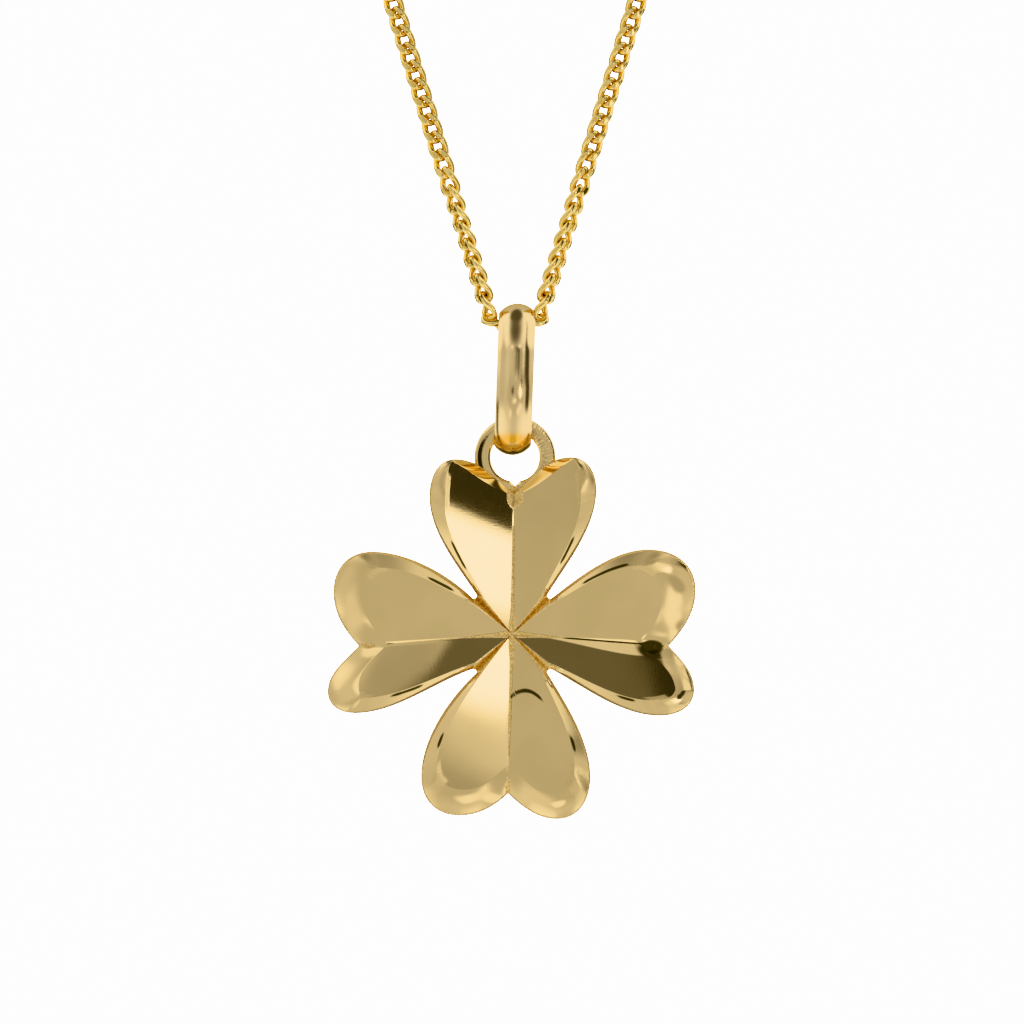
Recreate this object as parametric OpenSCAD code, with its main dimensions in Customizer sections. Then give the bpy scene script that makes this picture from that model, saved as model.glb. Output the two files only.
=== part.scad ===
// Four leaf clover pendant on a curb chain necklace, in millimetres.
// X runs to the wearer's left, Y to the back, Z up. The origin is the clasp's centre at the nape.

/* [Clover] */
// Length of a leaf, from the crossing of the folds to the tip of a lobe
leaf_l = 9.2; // [7:0.1:12]
// Height of a leaf's crest above the clover's flat back
crest_h = 1.7; // [1.4:0.05:2.4]
// Height of the rim that the crest rolls down to
rim_h = 0.8; // [0.76:0.02:1.1]
// Width of the roll between a leaf's side and its crest
side_roll = 0.6; // [0.3:0.05:0.8]
// How far the wall under the rim leans in
wall_lean = 0.14; // [0.05:0.01:0.25]
// Distance from the crossing of the folds to the gap between two leaves
web_l = 2.55; // [2:0.05:3.2]
// Width of the round end of the gap between two leaves
gap_w = 0.2; // [0.1:0.02:0.3]
// Distance of the clover's flat back behind the bail's middle, which balances the hanging drop
back_y = 0.66; // [0.5:0.02:0.8]
// Distance of the crossing of the folds to one side of the bail's middle
fold_x = -0.15; // [-0.3:0.05:0.3]

/* [Ring] */
// Radius of the opening in the soldered ring
ring_in_r = 1.22; // [1.1:0.02:1.6]
// Width of the ring's wire, seen from the front
ring_wire_w = 0.81; // [0.6:0.02:1.1]
// Thickness of the ring from front to back
ring_t = 0.6; // [0.4:0.02:0.64]
// How far the ring's back stands in front of the clover's back
ring_inset = 0.1; // [0.04:0.02:0.12]
// Height of the ring's centre above the point of the top leaf's notch
ring_lift = 1.8; // [1.5:0.05:2.1]
// How far the ring's pointed foot reaches into the leaf below that point
ring_bite = 0.22; // [0.1:0.02:0.4]
// Width of the wire along the pointed foot
ring_foot_w = 0.4; // [0.3:0.02:0.6]

/* [Bail] */
// Height of the bail
bail_h = 7.6; // [6.5:0.1:10]
// Depth of the bail from front to back
bail_d = 4.6; // [4.2:0.1:5.2]
// Width of the bail's wire
bail_w = 1.85; // [1.2:0.05:2]
// Thickness of the bail's wire at the top of its crown
bail_t = 0.65; // [0.5:0.05:0.8]
// How much of that thickness is the crown's rise
bail_crown = 0.48; // [0.3:0.02:0.5]
// How much further the bail's long sides stand out than its round ends
bail_bulge = 0.4; // [0.2:0.05:0.6]
// Bevel along the inner edges of the bail
bail_bevel = 0.12; // [0.05:0.01:0.15]

/* [Chain] */
// Thickness of the tube that stands in for the curb chain
chain_d = 0.56; // [0.5:0.02:0.8]
// Height of the nape above the chain's lowest point
hang_h = 139; // [130:1:150]
// Distance of the chain's lowest point in front of the nape
hang_y = 92; // [85:1:100]
// Sideways spread of each strand for each millimetre that it rises from the bail
spread = 0.31; // [0.25:0.01:0.4]
// Backward lean of each strand for each millimetre that it rises from the bail
lean = 0.1; // [0.05:0.01:0.2]
// Radius of the chain's bend beside the bail
bend_r = 0.6; // [0.5:0.02:0.8]

/* [Clasp] */
// Radius of the bolt ring, to the middle of its tube
clasp_r = 2.1; // [1.8:0.1:3]
// Thickness of the bolt ring's tube
clasp_tube_d = 1.1; // [0.8:0.05:1.3]
// Radius of the soldered end loop, to the middle of its wire
loop_r = 0.75; // [0.6:0.05:1]
// Thickness of the end loop's wire
loop_wire_d = 0.5; // [0.4:0.05:0.6]
// Length of the thumb catch
catch_l = 0.9; // [0.6:0.1:1.4]

/* [Clearances] */
// Gap between the hanging pieces where one bears on the other
hang_gap = 0.05; // [0.03:0.01:0.1]
// Gap between each end of the chain and the clasp
clasp_gap = 0.1; // [0.05:0.01:0.3]

/* [Hidden] */
$fn = 48;

// Route of one strand from the clasp to the collarbone, and the heights of its straight drop
ROUTE = [[15, -1.2, 0], [30, -6.5, -1], [41.5, -17, -2.5], [47, -32, -6], [46.5, -48, -13],
         [41.5, -63, -25], [34, -74.5, -42], [26, -82.5, -62]];
DROP_HEIGHTS = [50, 25];
ROUTE_STEPS = 3;
BEND_STEPS = 6;
TUBE_SIDES = 8;

// Steps round each end and each side of the bail, and across its crown
BAIL_END_STEPS = 12;
BAIL_SIDE_STEPS = 6;
CROWN_STEPS = 8;

// Each half leaf's outline, as shares of the leaf's length, with the bow of its side in degrees
SHOULDER_ALONG = 0;
SHOULDER_OUT = 1;
TIP_ALONG = 2;
TIP_OUT = 3;
SIDE_BOW = 4;
// Each leaf has its angle, its notch along and across, the width of its tips' roll, and its two halves
ANGLE = 0;
NOTCH_ALONG = 1;
NOTCH_ACROSS = 2;
TIP_ROLL = 3;
LEFT_HALF = 4;
RIGHT_HALF = 5;
TOP_LEAF = 1;
LEAVES = [
    [0, 0.853, -0.065, 0.13, [0.74, 0.46, 1.0, 0.24, 11], [0.80, 0.446, 0.992, 0.305, 5]],
    [90, 0.766, -0.01, 0.05, [0.745, 0.45, 0.951, 0.31, 8], [0.783, 0.46, 0.962, 0.32, 7]],
    [180, 0.834, 0.065, 0.13, [0.853, 0.432, 1.003, 0.315, -2], [0.761, 0.448, 0.972, 0.228, 20]],
    [270, 0.87, -0.022, 0.13, [0.777, 0.427, 1.008, 0.245, 9], [0.777, 0.495, 0.989, 0.288, 20]],
];
// Reach of each curve's handles, as shares of the stretch that it spans
SIDE_START = 0.31;
SIDE_END = 0.32;
CAP_START = 0.63;
CAP_END = 0.58;
NOTCH_START = 0.34;
NOTCH_END = 0.4;
NOTCH_TURN = 47;
// Share of the notch's distance where the fold and the crest end
FOLD_END = 0.8;
CREST_END = 0.88;
// Points along each stretch: the web, the side, the cap of the lobe, and the way in to the notch
WEB_STEPS = 5;
SIDE_STEPS = 9;
CAP_STEPS = 8;
NOTCH_STEPS = 7;
ROLL_STEPS = 4;
COLUMNS = WEB_STEPS + SIDE_STEPS + CAP_STEPS + NOTCH_STEPS;

// Heights along a half leaf from the crossing (0) to the notch (1), as shares of the crest's height
FOLD_HEIGHTS = [[0, 0.56], [0.2, 0.55], [0.5, 0.51], [0.8, 0.48], [1, 0.48]];
CREST_HEIGHTS = [[0, 0.56], [0.2, 0.84], [0.5, 1], [0.8, 0.93], [0.92, 0.74], [1, 0.51]];
WEB_HEIGHTS = [[0, 0.56], [0.06, 0.4], [0.2, 0.34]];

// Derived sizes
arch_drop = chain_d / 2 + hang_gap;
bail_top = arch_drop + bail_t;
bail_bottom_inner = bail_top - bail_h + bail_t;
ring_out_r = ring_in_r + ring_wire_w;
ring_y = back_y - ring_inset - ring_t / 2;
// The bail's bevelled edges bear on the ring's round opening, where the bail's lower bend curls up
edge_x = (bail_w - bail_bevel) / 2;
bail_end_r = bail_d / 2 - bail_bulge;
bail_in_r = bail_end_r - bail_t;
edge_rise = bail_in_r - sqrt(pow(bail_in_r, 2) - pow(abs(ring_y) + ring_t / 2, 2));
ring_z = bail_bottom_inner + edge_rise + hang_gap - bail_bevel / 2
    - sqrt(pow(ring_in_r, 2) - pow(edge_x, 2));
ring_drop = leaf_l * LEAVES[TOP_LEAF][NOTCH_ALONG] + ring_lift;
ring_foot = ring_lift + ring_bite - ring_foot_w * sqrt(2);
clover_z = ring_z - ring_drop;
spread_angle = atan(spread);
bend_x = bail_w / 2 + chain_d / 2 + hang_gap - bend_r * cos(spread_angle);

// Common functions

function lerp(a, b, t) = a + (b - a) * t;

function unit(v) = v / norm(v);

function bezier(p, t) =
    pow(1 - t, 3) * p[0] + 3 * pow(1 - t, 2) * t * p[1] + 3 * (1 - t) * t * t * p[2] + pow(t, 3) * p[3];

// Catmull-Rom curve between b and c
function spline(a, b, c, d, t) =
    (2 * b + (c - a) * t + (2 * a - 5 * b + 4 * c - d) * t * t + (3 * b - a - 3 * c + d) * t * t * t) / 2;

// Neighbouring patches share their edge points exactly once these are rounded
function snap(p) = [for (c = p) round(c * 10000) / 10000];

// Clover: each half leaf is a sheet of columns that fan from the fold to the outline

// Outline of a half leaf from the web to the notch, in leaf coordinates, along and across
function half_outline(web, shoulder, tip, notch, bow) =
    let (
        chord = norm(shoulder - web),
        start = atan2(shoulder.y - web.y, shoulder.x - web.x) + bow,
        end = norm(tip - notch),
        side = [
            web,
            web + SIDE_START * chord * [cos(start), sin(start)],
            shoulder - [SIDE_END * chord, 0],
            shoulder
        ],
        cap = [
            shoulder,
            shoulder + [CAP_START * (tip.x - shoulder.x), 0],
            tip + [0, CAP_END * (shoulder.y - tip.y)],
            tip
        ],
        inward = [
            tip,
            tip - [0, NOTCH_START * end],
            notch + NOTCH_END * end * [cos(NOTCH_TURN), sin(NOTCH_TURN)],
            notch
        ]
    )
    concat(
        [for (k = [1:SIDE_STEPS]) bezier(side, k / SIDE_STEPS)],
        [for (k = [1:CAP_STEPS]) bezier(cap, k / CAP_STEPS)],
        [for (k = [1:NOTCH_STEPS]) bezier(inward, k / NOTCH_STEPS)]
    );

// The web's part of a column row: even steps from the crossing of the folds
function web_row(end) = [for (k = [0:WEB_STEPS]) end * k / WEB_STEPS];

// Place of column i between the crossing (0) and the notch (1)
function column_place(i) =
    i <= WEB_STEPS ? 0.2 * i / WEB_STEPS
    : i <= WEB_STEPS + SIDE_STEPS ? 0.2 + 0.3 * (i - WEB_STEPS) / SIDE_STEPS
    : i <= WEB_STEPS + SIDE_STEPS + CAP_STEPS ? 0.5 + 0.3 * (i - WEB_STEPS - SIDE_STEPS) / CAP_STEPS
    : 0.8 + 0.2 * (i - COLUMNS + NOTCH_STEPS) / NOTCH_STEPS;

// One column of a half leaf: fold, crest, roll, rim, and the outline and the fold's foot on the back
function half_column(fold, crest, edge, place, on_web) =
    let (
        fold_z = crest_h * lookup(place, FOLD_HEIGHTS),
        crest_z = crest_h * lookup(place, CREST_HEIGHTS),
        edge_z = on_web ? crest_h * lookup(place, WEB_HEIGHTS) : rim_h,
        lean_share = on_web ? 0 : min(0.5, wall_lean / norm(crest - edge)),
        rim = lerp(edge, crest, lean_share)
    )
    concat(
        [[fold.x, fold.y, fold_z]],
        [for (k = [0:ROLL_STEPS])
            let (
                s = k / ROLL_STEPS,
                p = lerp(crest, rim, s)
            )
            [p.x, p.y, lerp(edge_z, crest_z, cos(90 * s))]
        ],
        [[edge.x, edge.y, 0], [fold.x, fold.y, 0]]
    );

// All columns of one half leaf; side is 1 for the half that lies to the left of the leaf's direction
function half_leaf(leaf, half, side) =
    let (
        web = web_l * [cos(45), sin(45)],
        past_web = web + gap_w / 2 * [1.3, -0.5],
        notch = leaf_l * [leaf[NOTCH_ALONG], side * leaf[NOTCH_ACROSS]],
        shoulder = leaf_l * [half[SHOULDER_ALONG], half[SHOULDER_OUT]],
        tip = leaf_l * [half[TIP_ALONG], half[TIP_OUT]],
        tip_roll = leaf_l * leaf[TIP_ROLL],
        crest_web = web + side_roll * [0.1, -0.6],
        outline = concat(web_row(web), half_outline(past_web, shoulder, tip, notch, half[SIDE_BOW])),
        crest = concat(web_row(crest_web), half_outline(
            crest_web,
            shoulder - [side_roll / 2, side_roll],
            tip - [tip_roll, side_roll / 3],
            notch * CREST_END,
            half[SIDE_BOW] / 2
        ))
    )
    [for (i = [0:COLUMNS])
        let (place = column_place(i))
        half_column(notch * FOLD_END * place, crest[i], outline[i], place, i <= WEB_STEPS)
    ];

// Turns a point of a half leaf into the clover's plane
function place_point(p, angle, side) =
    let (y = side * p.y)
    snap([p.x * cos(angle) - y * sin(angle), p.x * sin(angle) + y * cos(angle), p.z]);

module leaves() {
    rows = ROLL_STEPS + 4;
    wall_row = ROLL_STEPS + 1;
    points = [for (leaf = LEAVES, side = [1, -1])
        for (column = half_leaf(leaf, side > 0 ? leaf[LEFT_HALF] : leaf[RIGHT_HALF], side))
            for (p = column) place_point(p, leaf[ANGLE], side)
    ];
    faces = [for (h = [0:2 * len(LEAVES) - 1], i = [0:COLUMNS - 1], j = [0:rows - 2], t = [0, 1])
        let (
            first = (h * (COLUMNS + 1) + i) * rows + j,
            next = first + rows,
            inside_web = i < WEB_STEPS && j == wall_row,
            at_crossing = i == 0 && t == 0,
            triangle = j == 0
                ? (t == 0 ? [first, first + 1, next] : [first + 1, next + 1, next])
                : (t == 0 ? [first, first + 1, next + 1] : [first, next + 1, next])
        )
        if (!inside_web && !at_crossing)
            h % 2 == 0 ? triangle : [triangle[2], triangle[1], triangle[0]]
    ];
    translate([fold_x, 0, 0]) polyhedron(points, faces, convexity = 6);
}

// The round opening with its pointed foot, and the wire round it
module ring_outline(r, foot) {
    circle(r);
    translate([0, -foot]) rotate(45) square(foot);
}

module hanging_ring() {
    translate([0, ring_drop, ring_inset]) linear_extrude(ring_t) difference() {
        ring_outline(ring_out_r, ring_lift + ring_bite);
        ring_outline(ring_in_r, ring_foot);
    }
}

module clover() {
    color("#C4AA70") translate([0, -hang_y + back_y, clover_z - hang_h]) rotate([90, 0, 0]) union() {
        leaves();
        hanging_ring();
    }
}

// Bail: an oval of four arcs with a crowned outside and bevelled inner edges

// Section of the bail's wire, as distances out from its inner face and across its width
function bail_section() =
    let (
        half_w = bail_w / 2,
        crown_r = (half_w * half_w + bail_crown * bail_crown) / (2 * bail_crown)
    )
    concat(
        [[0, -half_w + bail_bevel], [bail_bevel, -half_w]],
        [for (k = [0:CROWN_STEPS])
            let (across = half_w * (2 * k / CROWN_STEPS - 1))
            [bail_t - crown_r + sqrt(crown_r * crown_r - across * across), across]],
        [[bail_bevel, half_w], [0, half_w - bail_bevel]]
    );

// One arc of the oval: for each step its centre, the radius to the inner face, and the angle
function bail_arc(centre, radius, from, to, steps) =
    [for (k = [0:steps - 1]) [centre.x, centre.y, radius, lerp(from, to, k / steps)]];

module bail() {
    end_c = bail_h / 2 - bail_end_r;
    side_c = (end_c * end_c - bail_bulge * bail_bulge) / (2 * bail_bulge);
    side_r = bail_d / 2 + side_c - bail_t;
    turn = atan2(end_c, side_c);
    rings = concat(
        bail_arc([-side_c, 0], side_r, -turn, turn, BAIL_SIDE_STEPS),
        bail_arc([0, end_c], bail_in_r, turn, 180 - turn, BAIL_END_STEPS),
        bail_arc([side_c, 0], side_r, 180 - turn, 180 + turn, BAIL_SIDE_STEPS),
        bail_arc([0, -end_c], bail_in_r, 180 + turn, 360 - turn, BAIL_END_STEPS)
    );
    section = bail_section();
    n = len(section);
    points = [for (ring = rings, p = section)
        [p[1], ring[0] + (ring[2] + p[0]) * cos(ring[3]), ring[1] + (ring[2] + p[0]) * sin(ring[3])]
    ];
    faces = [for (i = [0:len(rings) - 1], k = [0:n - 1], t = [0, 1])
        let (
            a = i * n + k,
            b = i * n + (k + 1) % n,
            next = ((i + 1) % len(rings)) * n,
            c = next + (k + 1) % n,
            d = next + k
        )
        t == 0 ? [a, b, c] : [a, c, d]
    ];
    color("#BFA468") translate([0, -hang_y, bail_top - bail_h / 2 - hang_h])
        polyhedron(points, faces, convexity = 4);
}

// Chain: each strand is one tube along the route from the clasp to the middle of the bail

// Point of a strand's straight drop at a height above the chain's lowest point
function drop_point(z) =
    let (
        start_z = bend_r * (1 - sin(spread_angle)),
        rise = z - start_z
    )
    [
        bend_x + bend_r * cos(spread_angle) + spread * rise,
        lean * rise - hang_y,
        z - hang_h
    ];

// Point of the bend under the bail's arch, from the strand's slope (0) to level (1)
function bend_point(t) =
    let (a = lerp(spread_angle, 90, t))
    [bend_x + bend_r * cos(a), -hang_y, bend_r * (1 - sin(a)) - hang_h];

function strand_path() =
    let (
        clasp_end = [clasp_r + clasp_tube_d / 2 + 2 * loop_r + clasp_gap, 0, 0],
        stations = concat([clasp_end], ROUTE, [for (z = DROP_HEIGHTS) drop_point(z)]),
        ends = concat([2 * stations[0] - stations[1]], stations)
    )
    concat(
        [for (i = [1:len(ends) - 3], k = [0:ROUTE_STEPS - 1])
            spline(ends[i - 1], ends[i], ends[i + 1], ends[i + 2], k / ROUTE_STEPS)],
        [drop_point(DROP_HEIGHTS[0])],
        [for (k = [0:BEND_STEPS]) bend_point(k / BEND_STEPS)],
        [[0, -hang_y, -hang_h]]
    );

// Direction of a path at point i
function heading(path, i) =
    i == 0 ? unit(path[1] - path[0])
    : i == len(path) - 1 ? [-1, 0, 0]
    : unit(unit(path[i + 1] - path[i]) + unit(path[i] - path[i - 1]));

// Side directions carried along the path without twist
function side_directions(path, i, previous) =
    let (
        t = heading(path, i),
        side = unit(previous - (previous * t) * t)
    )
    i == len(path) - 1 ? [side] : concat([side], side_directions(path, i + 1, side));

module strand() {
    path = strand_path();
    sides = side_directions(path, 0, [0, 0, 1]);
    last = len(path) - 1;
    points = [for (i = [0:last], k = [0:TUBE_SIDES - 1])
        let (
            a = 360 * (k + 0.5) / TUBE_SIDES,
            up = cross(heading(path, i), sides[i])
        )
        path[i] + chain_d / 2 * (cos(a) * sides[i] + sin(a) * up)
    ];
    walls = [for (i = [0:last - 1], k = [0:TUBE_SIDES - 1], t = [0, 1])
        let (
            first = i * TUBE_SIDES,
            a = first + k,
            b = first + (k + 1) % TUBE_SIDES
        )
        t == 0 ? [a, b + TUBE_SIDES, b] : [a, a + TUBE_SIDES, b + TUBE_SIDES]
    ];
    start_cap = [for (k = [0:TUBE_SIDES - 1]) k];
    end_cap = [for (k = [TUBE_SIDES - 1:-1:0]) last * TUBE_SIDES + k];
    polyhedron(points, concat(walls, [start_cap, end_cap]), convexity = 6);
}

module chain_right() {
    color("#D9AE45") strand();
}

module chain_left() {
    color("#D9AE45") mirror([1, 0, 0]) strand();
}

// Clasp: a closed bolt ring with an end loop at each side and a thumb catch
module clasp() {
    loop_x = clasp_r + clasp_tube_d / 2 + loop_r - loop_wire_d / 2;
    color("#D9AE45") {
        rotate([90, 90, 0]) rotate_extrude() translate([clasp_r, 0]) circle(clasp_tube_d / 2);
        for (turn = [0, 180])
            rotate([0, 0, turn]) translate([-loop_x, 0, 0])
                rotate_extrude() translate([loop_r, 0]) circle(loop_wire_d / 2);
        translate([0, 0, clasp_r]) cylinder(h = clasp_tube_d / 2 + catch_l, d = clasp_tube_d / 2);
    }
}

clover();
bail();
chain_left();
chain_right();
clasp();
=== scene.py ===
"""Four leaf clover pendant in yellow gold, on its bail and a fine curb chain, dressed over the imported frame."""
import math
from collections import namedtuple

import bmesh
import bpy
import numpy as np
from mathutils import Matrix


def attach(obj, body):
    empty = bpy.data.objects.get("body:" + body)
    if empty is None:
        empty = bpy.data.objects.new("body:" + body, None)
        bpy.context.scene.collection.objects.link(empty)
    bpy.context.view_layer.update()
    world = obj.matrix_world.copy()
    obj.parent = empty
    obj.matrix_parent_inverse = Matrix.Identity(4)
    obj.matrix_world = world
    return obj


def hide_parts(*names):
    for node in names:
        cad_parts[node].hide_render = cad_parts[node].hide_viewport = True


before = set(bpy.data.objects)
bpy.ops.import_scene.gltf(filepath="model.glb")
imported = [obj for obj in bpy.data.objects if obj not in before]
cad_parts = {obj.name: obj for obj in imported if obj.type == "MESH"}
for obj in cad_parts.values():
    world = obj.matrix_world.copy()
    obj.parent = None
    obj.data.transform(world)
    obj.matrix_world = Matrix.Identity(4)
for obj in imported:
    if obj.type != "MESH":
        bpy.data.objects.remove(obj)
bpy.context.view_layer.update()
MM = 0.001

# Sizes named as in the part's source, in millimetres
LEAF_L = 9.2
BEVEL_START = 0.35
BEVEL_CURL = 0.03
SIDE_ROLL = 0.6
WALL_LEAN = 0.14
WEB_L = 2.55
GAP_W = 0.2
BACK_Y = 0.66
FOLD_X = -0.15
RING_IN_R = 1.22
RING_OUT_R = 2.03
RING_T = 0.6
RING_INSET = 0.1
RING_FOOT = 1.454
RING_DROP = 8.8472
HANG_Y = 92.0
HANG_H = 139.0
CLOVER_Z = -15.55508
BAIL_H = 7.6
BAIL_D = 4.6
BAIL_W = 1.85
BAIL_T = 0.65
BAIL_TOP = 0.98
BAIL_BULGE = 0.4
BAIL_CROWN = 0.48
BAIL_BEVEL = 0.12
BEND_X = 0.6818
BEND_R = 0.6
SPREAD = 0.31
LEAN = 0.1
ROUTE = [[4.25, 0, 0], [15, -1.2, 0], [30, -6.5, -1], [41.5, -17, -2.5], [47, -32, -6],
         [46.5, -48, -13], [41.5, -63, -25], [34, -74.5, -42], [26, -82.5, -62]]
DROP_HEIGHTS = [50, 25]


# ---- Curves ----

def lerp(a, b, t):
    return a + (b - a) * t


def ease(t):
    """0 below 0, 1 above 1, and a smooth step between."""
    t = np.clip(t, 0, 1)
    return t * t * (3 - 2 * t)


def window(t, low, rise, high, fall):
    """0 up to low, 1 from low + rise to high, and 0 again from high + fall."""
    return ease((t - low) / rise) * (1 - ease((t - high) / fall))


def bell(t, centre, width):
    return np.exp(-((t - centre) / width) ** 2)


def bezier(a, b, c, d, t):
    """Cubic curve from a to d with the handles b and c, at every share t."""
    t = t[:, None]
    return (1 - t) ** 3 * a + 3 * (1 - t) ** 2 * t * b + 3 * (1 - t) * t ** 2 * c + t ** 3 * d


def unit(v):
    return v / np.linalg.norm(v, axis=-1, keepdims=True)


# ---- Meshes ----

def grid_quads(rows, columns, wrap_rows=False, wrap_columns=False):
    """Quads between the neighbours of a grid of points, closed on itself where it wraps."""
    i = np.arange(rows if wrap_rows else rows - 1)[:, None]
    j = np.arange(columns if wrap_columns else columns - 1)[None, :]
    low, high = i * columns, (i + 1) % rows * columns
    right = (j + 1) % columns
    return np.stack(np.broadcast_arrays(low + j, high + j, high + right, low + right), -1).reshape(-1, 4)


def add_piece(name, points, quads, material, body, node, fields, sharp, merge=True):
    """A mesh in the shared frame from points in millimetres and quads, which stands for its CAD node.
    Fields are numbers kept on its points for its material, and edges sharper than sharp degrees stay crisp."""
    mesh = bpy.data.meshes.new(name)
    mesh.from_pydata(points.reshape(-1, 3) * MM, [], quads.tolist())
    for field_name, values in fields.items():
        kind, entry = ("FLOAT_VECTOR", "vector") if values.shape[-1] == 3 else ("FLOAT", "value")
        layer = mesh.attributes.new(field_name, kind, "POINT")
        layer.data.foreach_set(entry, values.astype(np.float32).ravel())
    if merge:
        shell = bmesh.new()
        shell.from_mesh(mesh)
        bmesh.ops.remove_doubles(shell, verts=shell.verts, dist=2e-7)
        bmesh.ops.dissolve_degenerate(shell, edges=shell.edges, dist=1e-8)
        shell.to_mesh(mesh)
        shell.free()
    mesh.shade_smooth()
    mesh.set_sharp_from_angle(angle=math.radians(sharp))
    mesh.materials.append(material)
    piece = bpy.data.objects.new(name, mesh)
    bpy.context.scene.collection.objects.link(piece)
    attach(piece, body)
    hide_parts(node)


# ---- Shaders ----

class Value:
    """A number inside a shader: arithmetic on it adds Math nodes."""

    def __init__(self, tree, socket):
        self.tree = tree
        self.socket = socket

    def math(self, operation, *others, first=True):
        terms = [self, *others] if first else [*others, self]
        made = add_node(self.tree, "ShaderNodeMath", {"operation": operation}, dict(enumerate(terms)))
        return Value(self.tree, made.outputs[0])

    def __add__(self, other):
        return self.math("ADD", other)

    def __sub__(self, other):
        return self.math("SUBTRACT", other)

    def __rsub__(self, other):
        return self.math("SUBTRACT", other, first=False)

    def __mul__(self, other):
        return self.math("MULTIPLY", other)

    def __truediv__(self, other):
        return self.math("DIVIDE", other)

    __radd__ = __add__
    __rmul__ = __mul__

    def step(self, low, high):
        """Smooth step from 0 at low to 1 at high."""
        made = add_node(self.tree, "ShaderNodeMapRange", {"interpolation_type": "SMOOTHSTEP"},
                        {"Value": self, "From Min": low, "From Max": high})
        return Value(self.tree, made.outputs["Result"])

    def window(self, low, full_from, full_to, high):
        """0 below low and above high, and 1 between the two in the middle."""
        return self.step(low, full_from) * (1 - self.step(full_to, high))

    def blend(self, low, high):
        """low where this is 0 and high where it is 1."""
        return low + (high - low) * self if isinstance(low, Value) else self * (high - low) + low


def set_socket(tree, socket, value):
    if isinstance(value, Value):
        value = value.socket
    if isinstance(value, bpy.types.NodeSocket):
        tree.links.new(value, socket)
    else:
        socket.default_value = value


def add_node(tree, kind, settings=None, sockets=None):
    """A node with its settings made first, then the values or links of its sockets, by name or number."""
    made = tree.nodes.new(kind)
    for key, value in (settings or {}).items():
        setattr(made, key, value)
    for key, value in (sockets or {}).items():
        set_socket(tree, made.inputs[key], value)
    return made


def mix_colour(tree, factor, a, b):
    return add_node(tree, "ShaderNodeMix", {"data_type": "RGBA"}, {0: factor, 6: a, 7: b}).outputs[2]


def field(tree, name, vector=False):
    """The piece's own number or vector of that name."""
    made = add_node(tree, "ShaderNodeAttribute", {"attribute_name": name})
    return made.outputs["Vector"] if vector else Value(tree, made.outputs["Fac"])


def scaled(tree, vector, scale):
    """A vector stretched by a scale for each axis."""
    return add_node(tree, "ShaderNodeVectorMath", {"operation": "MULTIPLY"}, {0: vector, 1: scale}).outputs[0]


def noise(tree, vector, scale, detail=2.0, roughness=0.5):
    made = add_node(tree, "ShaderNodeTexNoise", {}, {"Vector": vector, "Scale": scale, "Detail": detail,
                                                     "Roughness": roughness})
    return Value(tree, made.outputs["Fac"])


def bump(tree, height, distance, normal=None):
    sockets = {"Height": height, "Distance": distance}
    if normal is not None:
        sockets["Normal"] = normal
    return add_node(tree, "ShaderNodeBump", {}, sockets).outputs["Normal"]


# Colours of the finishes and of the painted reflections, with a deeper and a lighter tone where the gold drifts
# between two
TINT = (0.88, 0.72, 0.42, 1)
CLOVER_TONES = (0.82, 0.615, 0.29, 1), (0.87, 0.655, 0.315, 1)
SKIN_TONES = (0.74, 0.49, 0.15, 1), (0.98, 0.73, 0.34, 1)
# Painted orange reflection of the ring on the clover's bands that face it
CLOVER_RING_REFLECTION = (0.80, 0.47, 0.10, 1)
# Painted dark reflection and shade in the grooves, the pocket and the other dark marks
PAINTED_DARK_TONE = (0.07, 0.055, 0.02, 1)
BAIL_TONES = (0.83, 0.625, 0.31, 1), (0.88, 0.665, 0.34, 1)
# Painted orange reflection of the ring on the bail's foot
BAIL_RING_REFLECTION = (0.93, 0.49, 0.06, 1)
CHAIN_TONES = (0.90, 0.65, 0.21, 1), (0.95, 0.72, 0.28, 1)


def drift(tree, pattern, tones):
    """A colour that drifts between two tones with a noise pattern."""
    return mix_colour(tree, pattern.step(0.3, 0.7), *tones)


def new_material(name):
    material = bpy.data.materials.new(name)
    material.use_nodes = True
    tree = material.node_tree
    tree.nodes.clear()
    shader = add_node(tree, "ShaderNodeBsdfPrincipled", {}, {"Metallic": 1.0, "Specular Tint": TINT})
    add_node(tree, "ShaderNodeOutputMaterial", {}, {"Surface": shader.outputs[0]})
    place = add_node(tree, "ShaderNodeTexCoord").outputs["Object"]
    return material, tree, shader, place


def finish_material(tree, shader, colour, roughness, normal):
    for name, value in {"Base Color": colour, "Roughness": roughness, "Normal": normal}.items():
        set_socket(tree, shader.inputs[name], value)


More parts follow.
